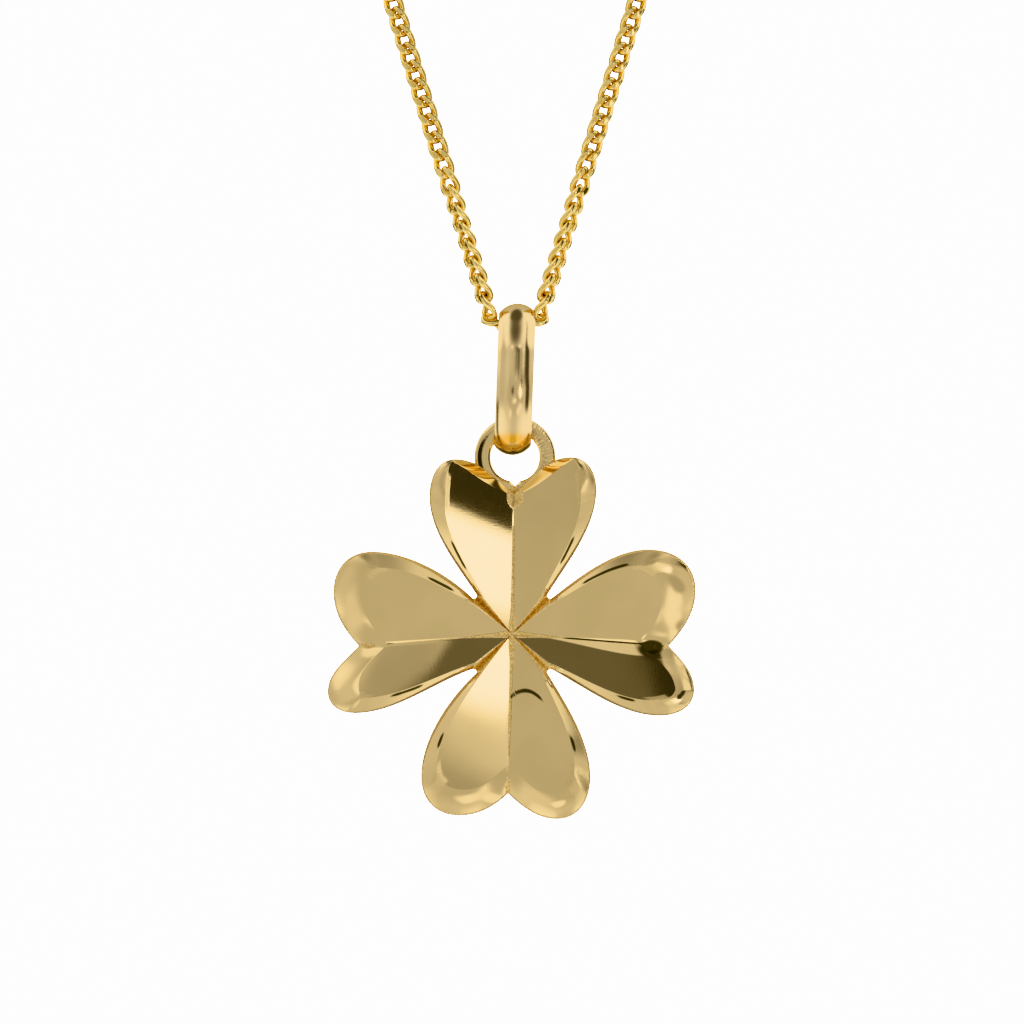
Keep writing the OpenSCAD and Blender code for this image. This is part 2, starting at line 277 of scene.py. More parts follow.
def clover_gold():
    """Polished cast gold: mirror facets with a faint polishing grain, and a browner matt skin where the
    field "skin" says that no buff reached. The field "filed" marks the ring's file strokes, one field paints
    dark reflection and shade into the grooves, the pocket and the other dark marks, another paints the orange
    reflection of the ring on the bands that face it, and "soft" marks the corners where a bevel turns into a cap.
    Strokes and polish run along the field "grain"."""
    material, tree, shader, place = new_material("clover_gold")
    skin, filed, painted_dark, ring_reflection, soft = (field(tree, name) for name in ("skin", "filed", "painted_dark", "ring_reflection", "soft"))
    grain = field(tree, "grain", vector=True)
    pits = noise(tree, place, 9000, 3)
    blotch = noise(tree, place, 2600)
    polish = noise(tree, scaled(tree, grain, (26, 2, 1)), 1.0, 3, 0.65)
    strokes = noise(tree, scaled(tree, grain, (60, 2.5, 1)), 1.0, 3, 0.6)
    rough_skin = (skin * (pits * 0.5 + blotch * 1.0 + 0.3)).step(0.40, 0.72)
    # Painted dark reflection and shade, mottled, in the grooves, the pocket and the other dark marks
    painted_dark_mask = (painted_dark * (blotch * 0.9 + 0.55)).step(0.12, 0.6)
    gold = drift(tree, noise(tree, place, 380), CLOVER_TONES)
    # Painted orange reflection of the ring on the bands that face it
    gold = mix_colour(tree, ring_reflection, gold, CLOVER_RING_REFLECTION)
    gold = mix_colour(tree, rough_skin, gold, drift(tree, pits, SKIN_TONES))
    rough = 0.035 + polish * 0.04 + rough_skin * 0.38 + filed * 0.12 + painted_dark_mask * 0.12 + soft * 0.30
    normal = bump(tree, noise(tree, place, 420, 1), 0.0000025)
    for height, distance in [(polish, 0.0000004), (strokes * filed, 0.00004), (pits * rough_skin, 0.00005)]:
        normal = bump(tree, height, distance, normal)
    # The painted dark reflection and shade laid over the gold
    finish_material(tree, shader, mix_colour(tree, painted_dark_mask, gold, PAINTED_DARK_TONE), rough, normal)
    return material


def bail_gold():
    """Polished wire: a soft mirror with faint ripples along the bail, with a painted orange reflection of the
    ring on the foot that faces it."""
    material, tree, shader, place = new_material("bail_gold")
    gold = drift(tree, noise(tree, place, 500), BAIL_TONES)
    fine = noise(tree, scaled(tree, place, (9000, 1500, 900)), 1.0)
    ripple = bump(tree, noise(tree, place, 500, 1), 0.000002)
    # Painted orange reflection of the ring on the foot that faces it
    gold = mix_colour(tree, field(tree, "ring_reflection"), gold, BAIL_RING_REFLECTION)
    finish_material(tree, shader, gold, 0.15 + fine * 0.05, ripple)
    return material


def chain_gold():
    """Deeper yellow wire, with brighter faces left by the diamond cutter where the field "cut" is 1."""
    material, tree, shader, place = new_material("chain_gold")
    gold = drift(tree, noise(tree, place, 1500), CHAIN_TONES)
    fine = noise(tree, place, 12000)
    rough = 0.08 + fine * 0.05 - field(tree, "cut") * 0.02
    finish_material(tree, shader, gold, rough, bump(tree, fine, 0.0000012))
    return material


# ---- Clover ----

# A leaf: the direction that it points in, in degrees; its notch along and across, in leaf lengths; the rise
# of its fold and how far that bends down along the leaf; and its left and right halves
Leaf = namedtuple("Leaf", "angle notch rise bend left right")
# A half: its shoulder and tip, each along and out, in leaf lengths; the bow of its side in degrees; how far
# in from the tip the crest line turns; the facet's climb out from the fold and how that changes along the
# leaf; the width and slope of the flatter strip beside the fold; and where along the leaf the fine groove
# beside the long crest begins and ends
Half = namedtuple("Half", "shoulder tip bow crest_in climb twist strip flat groove")
RIGHT, TOP, LEFT, LOW = 0, 90, 180, 270
LEAVES = [
    Leaf(RIGHT, (0.853, -0.065), 0.000, 0.014,
         Half((0.74, 0.46), (1.0, 0.24), 11, (1.75, 0.3), 0.205, 0.002, 0.17, 0.15, (3.3, 6.0)),
         Half((0.80, 0.446), (0.992, 0.305), 5, (1.0, 0.0), 0.20, 0.004, 0.62, 0.135, (5.0, 6.3))),
    Leaf(TOP, (0.766, -0.01), 0.090, 0.022,
         Half((0.745, 0.45), (0.951, 0.31), 8, (0.12, -0.07), 0.225, 0.011, 0.02, 0.21, (3.0, 4.8)),
         Half((0.783, 0.46), (0.962, 0.32), 7, (0.12, -0.07), 0.205, 0.002, 0.02, 0.19, (3.3, 5.05))),
    Leaf(LEFT, (0.834, 0.065), 0.079, 0.022,
         Half((0.853, 0.432), (1.003, 0.315), -2, (1.52, 0.3), 0.20, 0.017, 0.12, 0.13, (4.2, 6.2)),
         Half((0.761, 0.448), (0.972, 0.228), 20, (1.52, 0.3), 0.205, 0.002, 0.11, 0.15, (2.7, 4.4))),
    Leaf(LOW, (0.87, -0.022), 0.010, 0.009,
         Half((0.777, 0.427), (1.008, 0.245), 9, (1.33, 0.3), 0.205, 0.002, 0.02, 0.19, (4.85, 6.0)),
         Half((0.777, 0.495), (0.989, 0.288), 20, (1.33, 0.3), 0.275, -0.014, 0.14, 0.20, (4.7, 5.85))),
]
MIDDLE_Z = 0.9
CAP_FALL = 0.3
NOTCH_TURN = 47
FOLD_SHARE = 0.76
GROOVE_DEPTH = 0.003
# How far past the crest the groove lies and how wide it is, then the same for the painted dark reflection in it
GROOVE = 0.12, 0.06
GROOVE_PAINTED_DARK = 0.13, 0.08
# The right leaf's pocket and the painted dark shade and reflection in it: middle and half width, along the leaf
# and across it
POCKET_DEPTH = 0.22
POCKET_ALONG, POCKET_ACROSS = (7.25, 0.5), (-0.5, 0.34)
POCKET_PAINTED_DARK_ALONG, POCKET_PAINTED_DARK_ACROSS = (7.0, 0.6), (-0.66, 0.37)
# The thin painted dark arc on the lower leaf: how far along its middle lies, how far out, its bend and its width
ARC_ALONG, ARC_OUT, ARC_BEND, ARC_WIDE = 2.83, 0.72, 0.62, 0.1

# Shares along each stretch of a half leaf's edge, and across its facet, its roll and its wall
WEB = np.linspace(0, 1, 13)
SIDE = np.linspace(0, 1, 45)
CAP = np.linspace(0, 1, 37)
INWARD = np.linspace(0, 1, 31)
FACET = np.concatenate([[0, 0.008, 0.018, 0.032, 0.055], np.linspace(0.09, 0.86, 32), np.linspace(0.89, 1, 6)])
ROLL = np.concatenate([np.linspace(0, 0.4, 13)[1:], np.linspace(0.4, 1, 9)[1:]])
WALL = np.linspace(0, 1, 5)[1:]
ROLL_FROM, WALL_FROM = len(FACET), len(FACET) + len(ROLL)

# The place of each column of a half leaf along its edge: 0 to 0.2 over the web, to 0.5 up the side, to 0.8
# round the lobe's cap and to 1 on the way in. Then how far a column is past the web, where the side's bevel
# is crisp, and where it turns into the cap
PLACE = np.concatenate([0.2 * WEB, 0.2 + 0.3 * SIDE, 0.5 + 0.3 * CAP[1:], 0.8 + 0.2 * INWARD[1:]])
PAST_WEB = np.concatenate([0 * WEB, ease(SIDE * 6), 0 * CAP[1:] + 1, 0 * INWARD[1:] + 1])
CRISP = window(PLACE, 0.12, 0.1, 0.50, 0.08)
TURNING = window(PLACE, 0.46, 0.05, 0.62, 0.06)


def half_outline(web, shoulder, tip, notch, bow):
    """Edge of a half leaf from its web to its notch: three cubic curves, for the side, the lobe's cap and
    the way in, with handles that lie along the leaf at the shoulder and across it at the tip."""
    chord = np.linalg.norm(shoulder - web)
    start = math.atan2(*(shoulder - web)[::-1]) + math.radians(bow)
    end = np.linalg.norm(tip - notch)
    turn = math.radians(NOTCH_TURN)
    return np.concatenate([
        bezier(web, web + 0.31 * chord * np.array([math.cos(start), math.sin(start)]),
               shoulder - [0.32 * chord, 0], shoulder, SIDE),
        bezier(shoulder, shoulder + [0.63 * (tip[0] - shoulder[0]), 0],
               tip + [0, 0.58 * (shoulder[1] - tip[1])], tip, CAP[1:]),
        bezier(tip, tip - [0, 0.34 * end],
               notch + 0.4 * end * np.array([math.cos(turn), math.sin(turn)]), notch, INWARD[1:]),
    ])


def leaf_lines(leaf, half, side):
    """The edge, the crest line and the fold of a half leaf, a point of each for every column, and its notch.
    On the top leaf the crest turns in to the ring: there it runs beside the edge, bulging in from it by
    0.42 sin(pi t)^0.8, and closes on the fold."""
    top = leaf.angle == TOP
    notch = LEAF_L * np.array([leaf.notch[0], side * leaf.notch[1]])
    shoulder, tip = LEAF_L * np.array(half.shoulder), LEAF_L * np.array(half.tip)
    web = WEB_L * np.array([1, 1]) / math.sqrt(2)
    crest_web = web + SIDE_ROLL * np.array([0.1, -0.6])
    edge = np.concatenate([web * WEB[:, None], half_outline(
        web + GAP_W / 2 * np.array([1.3, -0.5]), shoulder, tip, notch, half.bow)])
    crest = np.concatenate([crest_web * WEB[:, None], half_outline(
        crest_web, shoulder - [0.4, 0.8], tip - half.crest_in,
        notch * (0.93 if top else 0.81), half.bow * 0.4)])
    if top:
        bulge = np.maximum(np.sin(math.pi * INWARD[1:]), 0) ** 0.8 * 0.42
        bulge[-1] = 0
        crest[-len(bulge):] = (edge[-len(bulge):] + np.outer(bulge, [-0.84, 0.54]) - 0.017 * notch
                               + np.outer(1 - INWARD[1:] ** 6, [0, 0.0756]))
    return edge, crest, notch * FOLD_SHARE * PLACE[:, None], notch


def facet_height(leaf, half, side, points):
    """Height on a facet: middle + rise a - bend a^2 / 2 + (climb + twist a) w + flat (out - w), with a along
    the leaf, out the distance from the fold and w its part past the flatter strip, rounded where the two
    slopes meet. The right leaf has a shallow pocket beside its notch."""
    a = points[..., 0]
    out = np.maximum(points[..., 1] - leaf.notch[1] * side / leaf.notch[0] * a, 0)
    strip = half.strip * ease((a - 0.6) / 6)
    rounding = 0.0008
    w = (out - strip + np.sqrt((out - strip) ** 2 + rounding) - np.sqrt(strip ** 2 + rounding) + strip) / 2
    height = (MIDDLE_Z + leaf.rise * a - leaf.bend * a * a / 2
              + (half.climb + half.twist * a) * w + half.flat * (out - w))
    if leaf.angle == RIGHT:
        height -= POCKET_DEPTH * bell(a, *POCKET_ALONG) * bell(points[..., 1] * side, *POCKET_ACROSS)
    return height


def roll_profile(height, crest, rim, span, chamfer):
    """How each column falls from its crest to its rim: the heights of both, the slope and the curl that it
    starts with, and the power of the share by which it makes up the rest. The side has a plain bevel, the
    cap rolls over from the facet's own slope, and the web and the chamfer beside the ring are flatter."""
    ahead = (rim - crest) / np.maximum(span, 1e-6)[:, None]
    crest_z = height(crest)
    slope = (height(crest + ahead * 1e-3) - crest_z) / 1e-3
    web_z = MIDDLE_Z + 0.16 * PLACE / 0.2 - 0.05
    web_z[0] = MIDDLE_Z
    bevel_z = crest_z - BEVEL_START * span - BEVEL_CURL * span ** 2 / 2
    cap_z = lerp(crest_z - CAP_FALL * span * (1 - 0.5 * ease((PLACE - 0.86) / 0.14)), 1.0, chamfer)
    rim_z = lerp(np.minimum(web_z, crest_z), lerp(bevel_z, cap_z, ease((PLACE - 0.48) / 0.10)), PAST_WEB)
    wide = np.maximum(span, 1e-3)
    fall = crest_z - rim_z
    cap_start = -np.minimum(0.10 - slope, 0.55 * fall / wide)
    cap_curl = 1.5 * (fall + cap_start * wide) / wide ** 2
    flatter = np.maximum(1 - PAST_WEB, chamfer)
    start = lerp(lerp(lerp(cap_start, -BEVEL_START, CRISP), slope, 1 - PAST_WEB), -0.7, chamfer)
    curl = lerp(lerp(cap_curl, BEVEL_CURL, CRISP), 0.3, flatter)
    return crest_z, rim_z, start, curl, lerp(3.5, 1.5, flatter)


def across_lines(a, b, shares):
    """Rows of points at each share of the way from the line a to the line b."""
    return lerp(a[:, None], b[:, None], shares[None, :, None])


def half_leaf(leaf, side):
    """One half of a leaf as columns that fan from the fold to the edge: the facet up to the crest line, then
    a roll at crest + start d - curl d^2 / 2 - drop (d / span)^power, with d the distance past the crest and
    a fine groove just past it on the long side, then the wall down to the back, which runs in under the
    fold. Returns points and fields. All is in the leaf's own frame until the last lines turn the points."""
    half = leaf.left if side > 0 else leaf.right
    edge, crest, fold, notch = leaf_lines(leaf, half, side)
    reach = np.maximum(np.linalg.norm(edge - crest, axis=1), 1e-6)
    lean = WALL_LEAN * (1.4 - 1.0 * ease((PLACE - 0.27) / 0.28))
    rim = lerp(edge, crest, (PAST_WEB * np.minimum(0.5, lean / reach))[:, None])
    span = np.linalg.norm(rim - crest, axis=1)
    chamfer = ease((PLACE - 0.79) / 0.03) if leaf.angle == TOP else 0 * PLACE
    groove = window(crest[:, 0], half.groove[0], 0.5, half.groove[1] - 0.5, 0.5) * CRISP

    def height(p):
        return facet_height(leaf, half, side, p)

    profile = roll_profile(height, crest, rim, span, chamfer)
    crest_z, rim_z, start, curl, power = (line[:, None] for line in profile)
    past = span[:, None] * ROLL
    drop = crest_z + start * span[:, None] - curl * span[:, None] ** 2 / 2 - rim_z
    on_facet = across_lines(fold, crest, FACET)
    rolled = (crest_z + start * past - curl * past ** 2 / 2
              - GROOVE_DEPTH * groove[:, None] * bell(past, *GROOVE) - drop * ROLL ** power)
    flat = np.concatenate([on_facet, across_lines(crest, rim, ROLL), across_lines(rim, edge, WALL),
                           fold[:, None]], 1)
    heights = np.concatenate([height(on_facet), rolled, rim_z * (1 - WALL), 0 * rim_z], 1)
    points = np.concatenate([flat, heights[..., None]], 2)

    fields = leaf_fields(leaf, side, points, fold, notch, groove, chamfer, past)
    turn = math.radians(leaf.angle)
    x, y = points[..., 0].copy(), side * points[..., 1]
    points[..., 0] = x * math.cos(turn) - y * math.sin(turn) + FOLD_X
    points[..., 1] = x * math.sin(turn) + y * math.cos(turn)
    return points, fields


def leaf_fields(leaf, side, points, fold, notch, groove, chamfer, past):
    """The fields of a half leaf's points. Skin is the matt casting in the web, along the fold, at the notch
    and on the wall; then painted dark reflection and shade in the grooves, in the right leaf's pocket and beside
    its fold, in the top notch and on the thin arc of the lower leaf; the painted orange reflection of the ring on
    the chamfer beside it; and soft the corner where the bevel turns into the cap."""
    a, out = points[..., 0], points[..., 1] - leaf.notch[1] * side / leaf.notch[0] * points[..., 0]
    on_wall = np.zeros(points.shape[1])
    on_wall[WALL_FROM:] = 1
    on_wall[WALL_FROM - 2:WALL_FROM] = [0.25, 0.7]
    roll_share = np.concatenate([0 * FACET, ROLL, 0 * WALL + 1, [1]])
    in_web = (1 - PAST_WEB)[:, None] * ease(roll_share * 3 + 0.1)
    from_fold = np.linalg.norm(points[..., :2] - fold[:, None], axis=2)
    fold_width = 0.13 if leaf.angle in (TOP, LOW) else 0.10 * (1 - ease((PLACE * 6 - 1.6) / 1.2)) + 0.01
    in_fold = ease(1.3 - from_fold / (fold_width + 0.12 * (1 - ease(PLACE * 4)))[:, None])
    from_notch = np.linalg.norm((points[..., :2] - (notch - [0.40, 0])) / [0.55, 0.17], axis=2)
    in_notch = ease(1.3 - from_notch) * 0.9

    painted_dark, ring_reflection, soft = (np.zeros(a.shape) for _ in range(3))
    # Painted dark reflection and shade: along the grooves, in the right leaf's pocket and in a line beside its
    # fold, in the top notch and on the lower leaf's arc
    painted_dark[:, ROLL_FROM:WALL_FROM] = groove[:, None] * bell(past, *GROOVE_PAINTED_DARK)
    if leaf.angle == RIGHT:
        pocket = np.hypot((a - POCKET_PAINTED_DARK_ALONG[0]) / POCKET_PAINTED_DARK_ALONG[1],
                          (points[..., 1] * side - POCKET_PAINTED_DARK_ACROSS[0]) / POCKET_PAINTED_DARK_ACROSS[1])
        fold_dark_line = (1 - ease((out - 0.02) / 0.035)) * window(a, 2.0, 1.4, 6.5, 0.3)
        painted_dark = np.maximum.reduce([painted_dark, ease((1.15 - pocket) * 3) * 0.62, fold_dark_line])
    if leaf.angle == TOP:
        painted_dark = np.maximum(painted_dark, in_notch * 0.36)
    if leaf.angle == LOW and side > 0:
        arc = ARC_ALONG + ARC_BEND * (out - ARC_OUT) ** 2
        painted_dark = np.maximum(painted_dark, bell(a, arc, ARC_WIDE) * (1 - ease((out - 1.4) / 0.4)) * 0.85)
    painted_dark[:, WALL_FROM:] = 0
    # Painted orange reflection of the ring on the top leaf's chamfer
    ring_reflection[:, ROLL_FROM:WALL_FROM] = (chamfer * 0.8)[:, None] * np.sin(math.pi * ROLL * 0.9 + 0.2)
    soft[:, ROLL_FROM - 3:WALL_FROM] = TURNING[:, None]
    return {"skin": np.maximum.reduce([on_wall + 0 * from_fold, in_web, in_fold, in_notch]),
            "grain": np.stack([a, points[..., 1], 0 * a + leaf.angle], 2),
            "filed": 0 * a, "painted_dark": painted_dark, "ring_reflection": ring_reflection, "soft": soft}


def hanging_ring(steps=144):
    """Round ring whose opening has a pointed foot: at each angle a rounded rectangle between the inner
    radius, which on the foot is foot / (sin + cos), and the outer one. It is filed on its right side."""
    a = np.linspace(0, 2 * math.pi, steps, endpoint=False)
    off = np.abs((a + math.pi) % (2 * math.pi) - math.pi)
    foot = np.maximum(RING_IN_R, RING_FOOT / (np.sin(off) + np.cos(off)))
    inner = np.where(off < math.pi / 4, foot, RING_IN_R)
    corner = np.linspace(0, math.pi / 2, 5)
    arc = np.concatenate([corner + k * math.pi / 2 for k in range(4)])
    far = np.repeat([1, 0, 0, 1], 5)
    high = np.repeat([1, 1, 0, 0], 5)
    corner_r = 0.19
    width = (RING_OUT_R - inner)[:, None]
    out = inner[:, None] + corner_r + (width - 2 * corner_r) * far + corner_r * np.cos(arc)
    z = RING_INSET + corner_r + (RING_T - 2 * corner_r) * high + corner_r * np.sin(arc) + 0 * out
    points = np.stack([out * np.sin(a)[:, None], RING_DROP - out * np.cos(a)[:, None], z], 2)
    filed = ease(points[..., 0] / 1.2 + 0.1) * 0.7 + 0.3 * ease((7.9 - points[..., 1]) / 0.4)
    clean = 0 * filed
    grain = np.stack([a[:, None] * 0.26 + clean, out * 0.3, clean + 7], 2)
    return points, {"skin": clean + 0.2, "grain": grain, "filed": np.maximum(filed, 0.03),
                    "painted_dark": clean, "ring_reflection": clean, "soft": clean}


def build_clover(material):
    """The four leaves, their webs and the ring, soldered into one casting. The walls inside the webs, where
    two leaves meet, are left out."""
    parts = [half_leaf(leaf, side) for leaf in LEAVES for side in (1, -1)]
    columns, rows = parts[0][0].shape[:2]
    quads = grid_quads(columns, rows)
    column, row = quads[:, 0] // rows, quads[:, 0] % rows
    quads = quads[~((column < len(WEB) - 1) & (row >= WALL_FROM - 1) & (row < rows - 2))]
    faces = [(quads if k % 2 == 0 else quads[:, ::-1]) + k * columns * rows for k in range(len(parts))]
    parts.append(hanging_ring())
    faces.append(grid_quads(*parts[-1][0].shape[:2], True, True) + len(faces) * columns * rows)
    flat = np.concatenate([points.reshape(-1, 3) for points, _ in parts])
    placed = np.stack([flat[:, 0], BACK_Y - HANG_Y - flat[:, 2], flat[:, 1] + CLOVER_Z - HANG_H], 1)
    fields = {name: np.concatenate([values[name].reshape(points.size // 3, -1) for points, values in parts])
              for name in parts[0][1]}
    from_solder = np.linalg.norm((flat[:, :2] - [0, RING_DROP - 1.95]) / [0.36, 0.55], axis=1)
    fields["skin"] = np.maximum(fields["skin"], ease(1.6 - from_solder)[:, None] * 0.9)
    add_piece("clover_casting", placed, np.concatenate(faces), material, "clover", "clover",
              fields, 18)


# ---- Bail ----

# How far the bail's top leans to the wearer's left, how its front bends and how high the bend reaches, and
# how far its front lies back towards the top, from which height and over how much of it
BAIL_LEAN = 0.036
FRONT_BEND = 0.12
FRONT_REACH = 2.6
TOP_FALL = 0.15
TOP_FROM = 1.4
TOP_OVER = 1.5
# The foot that faces the ring, where a painted orange reflection of the ring lies: its height under the bail's
# middle, and its half height and half width
RING_REFLECTION_FOOT = 3.0, 0.28, 0.68


def build_bail(material):
    """Closed oval of four arcs. Its wire is crowned outside along a circle and has bevelled inner edges. By
    the height h over its middle, its front is bent by bend h (1 - (h / reach)^2)^2, its front lies back a
    little towards the top, and the whole leans by lean h."""
    end_r = BAIL_D / 2 - BAIL_BULGE
    end_c = BAIL_H / 2 - end_r
    side_c = (end_c ** 2 - BAIL_BULGE ** 2) / (2 * BAIL_BULGE)
    side_r = BAIL_D / 2 + side_c - BAIL_T
    turn = math.atan2(end_c, side_c)
    half = math.pi
    arcs = [(-side_c, 0, side_r, -turn, turn, 40), (0, end_c, end_r - BAIL_T, turn, half - turn, 56),
            (side_c, 0, side_r, half - turn, half + turn, 40),
            (0, -end_c, end_r - BAIL_T, half + turn, 2 * half - turn, 56)]
    rings = np.concatenate([np.stack([np.full(n, x), np.full(n, z), np.full(n, r),
                                      np.linspace(a, b, n, endpoint=False)], 1) for x, z, r, a, b, n in arcs])
    centre_y, centre_z, radius, angle = (rings[:, k, None] for k in range(4))
    half_w = BAIL_W / 2
    crown_r = (half_w ** 2 + BAIL_CROWN ** 2) / (2 * BAIL_CROWN)
    across = half_w * np.sin(np.linspace(-half / 2, half / 2, 27))
    crown = BAIL_T - crown_r + np.sqrt(crown_r ** 2 - across ** 2)
    inner = np.linspace(half_w - BAIL_BEVEL, BAIL_BEVEL - half_w, 5)
    reach = radius + np.concatenate([crown, 0 * inner])
    x = np.concatenate([across, inner]) + 0 * reach
    y = centre_y + reach * np.cos(angle)
    high = centre_z + reach * np.sin(angle)
    y = y + np.where(y < -0.8, FRONT_BEND * high * np.clip(1 - (high / FRONT_REACH) ** 2, 0, 1) ** 2, 0)
    y = y - np.where(y < 0, TOP_FALL * y * ease((high - TOP_FROM) / TOP_OVER), 0)
    # Painted orange reflection of the ring on the foot that faces it
    foot, foot_high, foot_wide = RING_REFLECTION_FOOT
    ring_reflection = np.exp(-(np.abs(high + foot) / foot_high) ** 3 - (np.abs(x) / foot_wide) ** 4)
    ring_reflection = np.where(y < -0.3, ring_reflection, 0)
    points = np.stack([x + BAIL_LEAN * high, y - HANG_Y, high + BAIL_TOP - BAIL_H / 2 - HANG_H], 2)
    add_piece("bail_loop", points, grid_quads(*high.shape, True, True), material, "bail", "bail",
              {"ring_reflection": ring_reflection.reshape(-1, 1)}, 30)


# ---- Chain ----

LINK_LONG = 0.66
LINK_WIDE = 0.35
LINK_TWIST = 0.21
WIRE_R = 0.172
CUT_HALF = 0.315
PITCH = 0.94
FIRST_LINK = 4.9
FINE_LINKS = 20
FINE_MESH = 48, 14
PLAIN_MESH = 14, 6
END_RING_X = 4.05
END_RING_R = 0.55
END_WIRE_R = 0.12
NECK_Y = -48.0


def strand_line():
    """Dense points of the right strand from the middle of the bail back to the clasp, a Catmull-Rom curve
    through the route that ends in a straight drop and a bend under the bail's arch."""
    lean_in = math.atan(SPREAD)

    def drop(z):
        rise = z - BEND_R * (1 - math.sin(lean_in))
        return [BEND_X + BEND_R * math.cos(lean_in) + SPREAD * rise, LEAN * rise - HANG_Y, z - HANG_H]

    stations = np.array(ROUTE + [drop(z) for z in DROP_HEIGHTS], float)
    ends = np.concatenate([[2 * stations[0] - stations[1]], stations])
    t = np.linspace(0, 1, 24, endpoint=False)[:, None]
    curves = [(2 * b + (c - a) * t + (2 * a - 5 * b + 4 * c - d) * t ** 2
               + (3 * b - a - 3 * c + d) * t ** 3) / 2
              for a, b, c, d in zip(ends[:-3], ends[1:-2], ends[2:-1], ends[3:])]
    a = np.linspace(lean_in, math.pi / 2, 30)
    bend = np.stack([BEND_X + BEND_R * np.cos(a), 0 * a - HANG_Y, BEND_R * (1 - np.sin(a)) - HANG_H], 1)
    line = np.concatenate([*curves, [drop(DROP_HEIGHTS[0])], bend, [[0, -HANG_Y, -HANG_H]]])
    return line[::-1]


def curb_link(around, sides, even=False):
    """One curb link in its own frame, along x and across y: an ellipse (long cos t, wide sin t) whose wire
    rises and falls by twist sin 2t, a round wire along it, and faces cut back to half + 0.25 (0.25^2 - y^2).
    An even link, which lies in the middle, rises by twist 2 sin t |cos t| instead."""
    t = np.linspace(0, 2 * math.pi, around, endpoint=False)
    lift = (2 * np.sin(t) * np.sqrt(np.cos(t) ** 2 + 0.01) if even else np.sin(2 * t)) * LINK_TWIST
    centre = np.stack([LINK_LONG * np.cos(t), LINK_WIDE * np.sin(t), lift], 1)
    ahead = unit(np.roll(centre, -1, 0) - np.roll(centre, 1, 0))
    out = unit(np.cross(ahead, [0, 0, 1.0]))
    up = np.cross(out, ahead)
    a = np.linspace(0, 2 * math.pi, sides, endpoint=False)[None, :, None]
    points = centre[:, None] + WIRE_R * (np.cos(a) * out[:, None] + np.sin(a) * up[:, None])
    limit = CUT_HALF + 0.25 * (0.25 ** 2 - points[..., 1] ** 2)
    cut = (np.abs(points[..., 2]) > limit).astype(float)
    points[..., 2] = np.clip(points[..., 2], -limit, limit)
    return points, cut


def link_places(line):
    """Centres and directions of the links, one pitch apart along the line, and the way that each link's
    flat faces: out from the neck, turned by 50 degrees over the lowest 10.5 mm and by 40 more over the
    lowest 2.8 mm, until it lies under the arch."""
    length = np.concatenate([[0], np.cumsum(np.linalg.norm(np.diff(line, axis=0), axis=1))])
    end = length[-1] - (FIRST_LINK - ROUTE[0][0])
    s = np.linspace(0, end, int(round(end / PITCH)) + 1)

    def at(s):
        return np.stack([np.interp(s, length, line[:, k]) for k in range(3)], 1)

    centre = at(s)
    reach = 0.35
    behind = np.where(s[:, None] < reach, at(reach - s) * [-1, 1, 1], at(s - reach))
    ahead = unit(at(s + reach) - behind)
    outward = np.stack([centre[:, 0], centre[:, 1] - NECK_Y, 0 * s], 1)
    outward[0] = [0, -1, 0]
    face = unit(outward - (outward * ahead).sum(1, keepdims=True) * ahead)
    turn = np.radians(50 * (1 - ease((s - 6.5) / 4)) + 40 * (1 - ease((s - 1.2) / 1.6)))[:, None]
    face = face * np.cos(turn) + np.cross(ahead, face) * np.sin(turn)
    centre[:, 2] -= 0.06 * (1 - ease((s - 0.8) / 1.4))
    return centre, ahead, face


def end_ring():
    """Small ring between the last link and the clasp: (reach cos a, wire sin b, reach sin a), with
    reach = radius + wire cos b."""
    a = np.linspace(0, 2 * math.pi, 16, endpoint=False)[:, None]
    b = np.linspace(0, 2 * math.pi, 6, endpoint=False)[None, :]
    reach = END_RING_R + END_WIRE_R * np.cos(b)
    return np.stack([END_RING_X + reach * np.cos(a), END_WIRE_R * np.sin(b) + 0 * a, reach * np.sin(a)], 2)


def strand(material, name, node, mirror):
    """One strand of links. The ones that hang in front are finer than those round the neck, and the link in
    the middle of the bail belongs to the right strand."""
    centre, ahead, face = link_places(strand_line())
    across = np.cross(face, ahead)
    grids, cuts = [], []

    def lay(first, last, shape, cut):
        axes = [axis[first:last, None, None] for axis in (centre, ahead, across, face)]
        placed = axes[0] + shape[..., :1] * axes[1] + shape[..., 1:2] * axes[2] + shape[..., 2:] * axes[3]
        grids.extend(placed)
        cuts.append(np.broadcast_to(cut, placed.shape[:3]).ravel())

    if mirror > 0:
        lay(0, 1, *curb_link(*FINE_MESH, even=True))
    lay(1, FINE_LINKS + 1, *curb_link(*FINE_MESH))
    lay(FINE_LINKS + 1, None, *curb_link(*PLAIN_MESH))
    grids.append(end_ring())
    cuts.append(np.zeros(grids[-1][..., 0].size))
    starts = np.cumsum([0] + [grid[..., 0].size for grid in grids])
    faces = np.concatenate([grid_quads(*grid.shape[:2], True, True) + start
                            for grid, start in zip(grids, starts)])
    points = np.concatenate([grid.reshape(-1, 3) for grid in grids]) * [mirror, 1, 1]
    add_piece(name, points, faces if mirror > 0 else faces[:, ::-1], material, "chain", node,
              {"cut": np.concatenate(cuts)[:, None]}, 35, merge=False)


# ---- Studio ----

